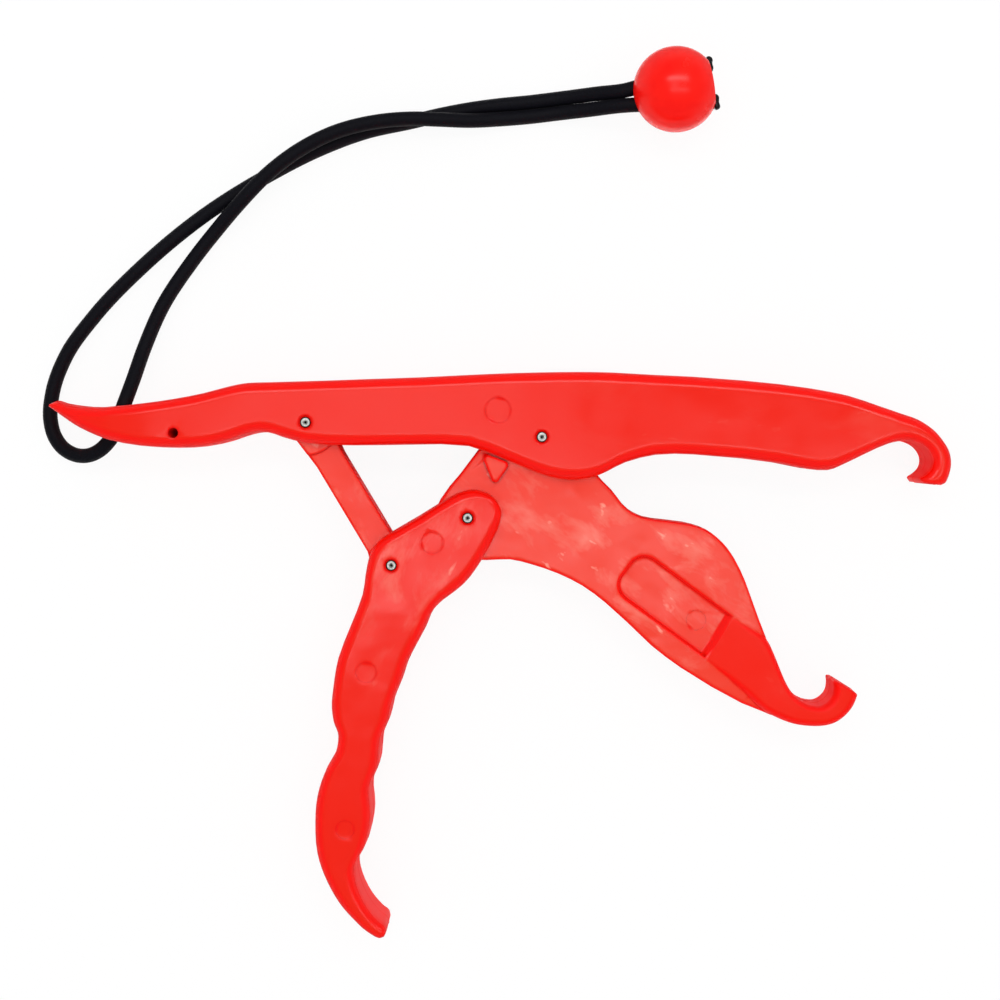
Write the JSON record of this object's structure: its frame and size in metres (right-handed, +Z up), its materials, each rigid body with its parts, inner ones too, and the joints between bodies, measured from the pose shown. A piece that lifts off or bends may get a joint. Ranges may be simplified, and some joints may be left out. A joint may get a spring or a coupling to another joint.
{
  "type": "fish lip gripper",
  "caption": "Plastic fish lip gripper with hooked jaws: a forked lever shuts the lower jaw through a toggle link, and an elastic cord with a ball runs through the tail.",
  "frame": {"origin": "on the axis of the jaw pivot, at the surface the gripper lies on", "axes": "+X along the body towards the hooks, +Y away from the lever, +Z up out of the surface, along the pivot pins"},
  "size_m": [0.2525, 0.245, 0.0236],
  "materials": {
    "moulded_red": "moulded, softly glossy with a fine texture",
    "pin_steel": "cut pin ends",
    "cord_black": "braided cover",
    "ball_red": "smooth, satin",
    "melted_black": "melted ends of the cord"
  },
  "bodies": {
    "handle": {"body": "moulded_red", "jaw_pivot_pin": "pin_steel", "link_body_pin": "pin_steel", "lanyard_cord": "cord_black", "lanyard_ball": "ball_red", "cord_end_1": "melted_black", "cord_end_2": "melted_black"},
    "jaw": {"lower_jaw": "moulded_red"},
    "trigger": {"lever": "moulded_red", "lever_pivot_pin": "pin_steel", "link_lever_pin": "pin_steel"},
    "toggle": {"link": "moulded_red"}
  },
  "joints": [
    {"name": "jaw_swing", "type": "hinge", "parent": "handle", "child": "jaw", "pos_m": [0, 0, 0.01], "axis": [0, 0, 1], "range_deg": [0, 32]},
    {"name": "lever_swing", "type": "hinge", "parent": "jaw", "child": "trigger", "pos_m": [-0.02027, -0.02212, 0.01], "axis": [0, 0, 1], "range_deg": [-70.5, 0]},
    {"name": "link_swing", "type": "hinge", "parent": "handle", "child": "toggle", "pos_m": [-0.0645, 0.004, 0.01], "axis": [0, 0, 1], "range_deg": [0, 15.8]}
  ],
  "couplings": [
    {"joint": "jaw_swing", "follows": "lever_swing", "ratio": -0.4525},
    {"joint": "link_swing", "follows": "lever_swing", "ratio": -0.222}
  ]
}
